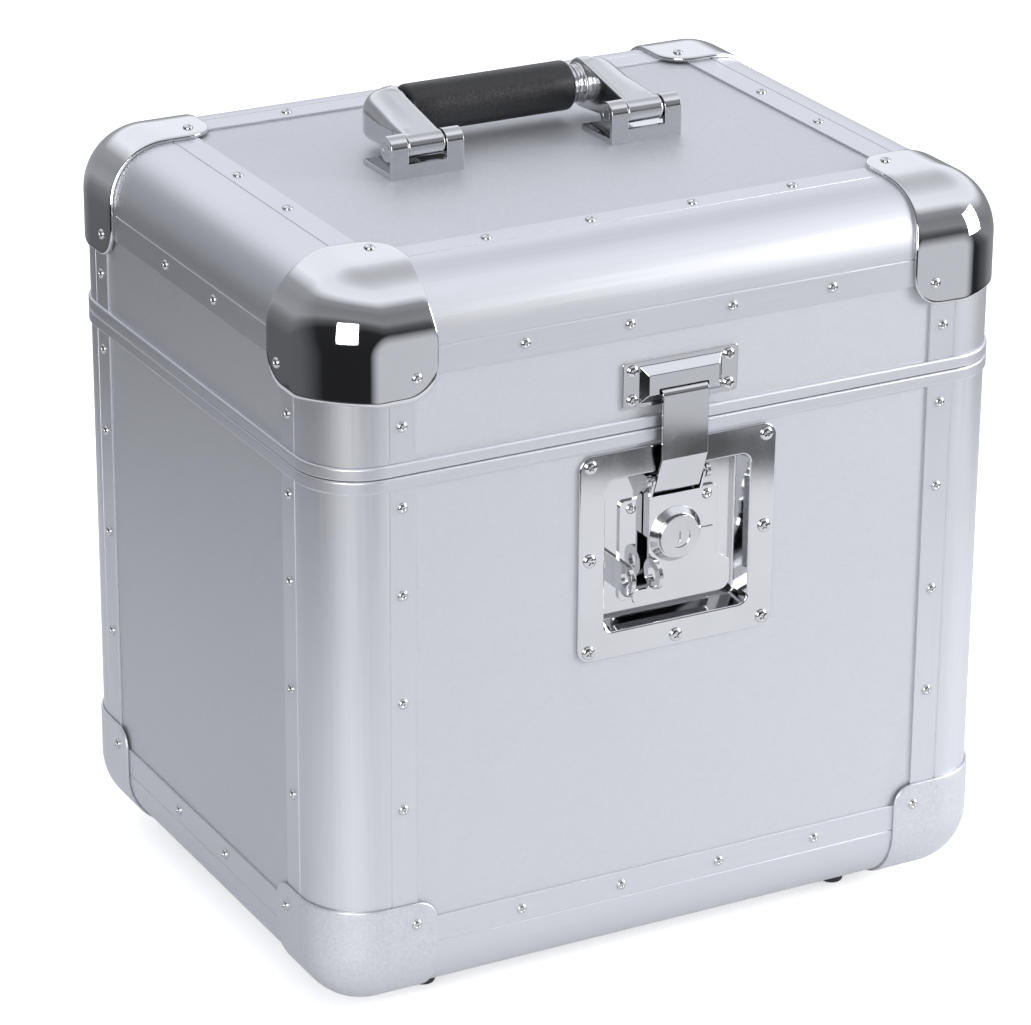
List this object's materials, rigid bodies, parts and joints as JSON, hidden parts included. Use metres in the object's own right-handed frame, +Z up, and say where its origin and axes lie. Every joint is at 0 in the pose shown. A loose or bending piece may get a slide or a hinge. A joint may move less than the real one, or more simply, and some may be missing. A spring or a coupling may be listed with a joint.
{
  "type": "record carrying case",
  "caption": "Hard carrying case for LP records: silver panels in rounded edge extrusions, mirror ball corners, lift-up lid, flip handle and recessed draw latch with a key lock",
  "frame": {"origin": "centre of the footprint, on the plane of the feet", "axes": "+Z up, the latch and key lock face -Y, the lid hinges are towards +Y, +X to the right as seen by someone facing the latch"},
  "size_m": [0.3664, 0.3008, 0.3945],
  "materials": {
    "panel": "aluminium-faced plywood, satin silver outside, black fibre inside",
    "extrusion": "anodised extrusion, satin silver",
    "closure_band": "anodised tongue-and-groove extrusion, satin silver",
    "ball_corner": "mirror-plated pressed steel",
    "foot_corner": "matt silver pressed steel",
    "rivet": "plated steel, domed heads",
    "screw": "plated steel, cross recess",
    "foot_rubber": "moulded black rubber",
    "liner": "black EVA foam sheet",
    "latch_dish": "bright-plated pressed steel",
    "latch_steel": "bright-plated steel",
    "latch_plate": "bright-plated pressed steel",
    "lock_metal": "plated zinc die casting",
    "handle_bracket": "bright-plated pressed steel",
    "handle_arm": "satin-bright plated zinc die casting",
    "handle_grip": "black moulded grip with a fine leather grain",
    "hinge": "bright zinc-plated steel"
  },
  "bodies": {
    "case": {"body_front_panel": "panel", "body_back_panel": "panel", "body_left_panel": "panel", "body_right_panel": "panel", "body_bottom_panel": "panel", "body_corner_profile_front_left": "extrusion", "body_corner_profile_front_right": "extrusion", "body_corner_profile_back_left": "extrusion", "body_corner_profile_back_right": "extrusion", "body_bottom_profile_front": "extrusion", "body_bottom_profile_back": "extrusion", "body_bottom_profile_left": "extrusion", "body_bottom_profile_right": "extrusion", "bottom_corner_cap_front_left": "foot_corner", "bottom_corner_cap_front_right": "foot_corner", "bottom_corner_cap_back_left": "foot_corner", "bottom_corner_cap_back_right": "foot_corner", "body_closure_rail": "closure_band", "body_rivets": "rivet", "feet": "foot_rubber", "floor_liner": "liner", "latch_dish": "latch_dish", "latch_dish_screws": "screw", "latch_base": "latch_steel", "latch_base_rivets": "rivet", "latch_pivot_pins": "latch_steel", "hinge_body_leaves": "hinge", "hinge_pins": "hinge"},
    "lid": {"lid_front_panel": "panel", "lid_back_panel": "panel", "lid_left_panel": "panel", "lid_right_panel": "panel", "lid_top_panel": "panel", "lid_top_profile_front": "extrusion", "lid_top_profile_back": "extrusion", "lid_top_profile_left": "extrusion", "lid_top_profile_right": "extrusion", "lid_corner_profiles": "extrusion", "lid_corner_cap_front_left": "ball_corner", "lid_corner_cap_front_right": "ball_corner", "lid_corner_cap_back_left": "ball_corner", "lid_corner_cap_back_right": "ball_corner", "lid_closure_rail": "closure_band", "lid_rivets": "rivet", "keeper": "latch_plate", "keeper_screws": "screw", "handle_bracket_left": "handle_bracket", "handle_bracket_right": "handle_bracket", "handle_pins": "handle_bracket", "lid_liner": "liner", "hinge_lid_leaves": "hinge"},
    "handle": {"handle_arm_left": "handle_arm", "handle_arm_right": "handle_arm", "handle_grip": "handle_grip"},
    "latch_lever": {"latch_lever": "latch_plate", "lock_collar": "lock_metal", "latch_hook_pin": "latch_steel"},
    "latch_hook": {"latch_hook": "latch_plate"},
    "lock_plug": {"lock_plug": "lock_metal"}
  },
  "joints": [
    {"name": "lid_hinge", "type": "hinge", "parent": "case", "child": "lid", "pos_m": [0, 0.147, 0.2775], "axis": [-1, 0, 0], "range_deg": [0, 105]},
    {"name": "handle_pivot", "type": "hinge", "parent": "lid", "child": "handle", "pos_m": [-0.003, -0.0045, 0.38], "axis": [1, 0, 0], "range_deg": [0, 90]},
    {"name": "latch_lever_pivot", "type": "hinge", "parent": "case", "child": "latch_lever", "pos_m": [0, -0.1402, 0.2505], "axis": [-1, 0, 0], "range_deg": [0, 85]},
    {"name": "latch_hook_pivot", "type": "hinge", "parent": "latch_lever", "child": "latch_hook", "pos_m": [0, -0.1382, 0.2459], "axis": [1, 0, 0], "range_deg": [0, 86]},
    {"name": "lock_turn", "type": "hinge", "parent": "latch_lever", "child": "lock_plug", "pos_m": [0, -0.1388, 0.2215], "axis": [0, -1, 0], "range_deg": [0, 90]}
  ],
  "couplings": [
    {"joint": "latch_hook_pivot", "follows": "latch_lever_pivot", "ratio": 1}
  ]
}
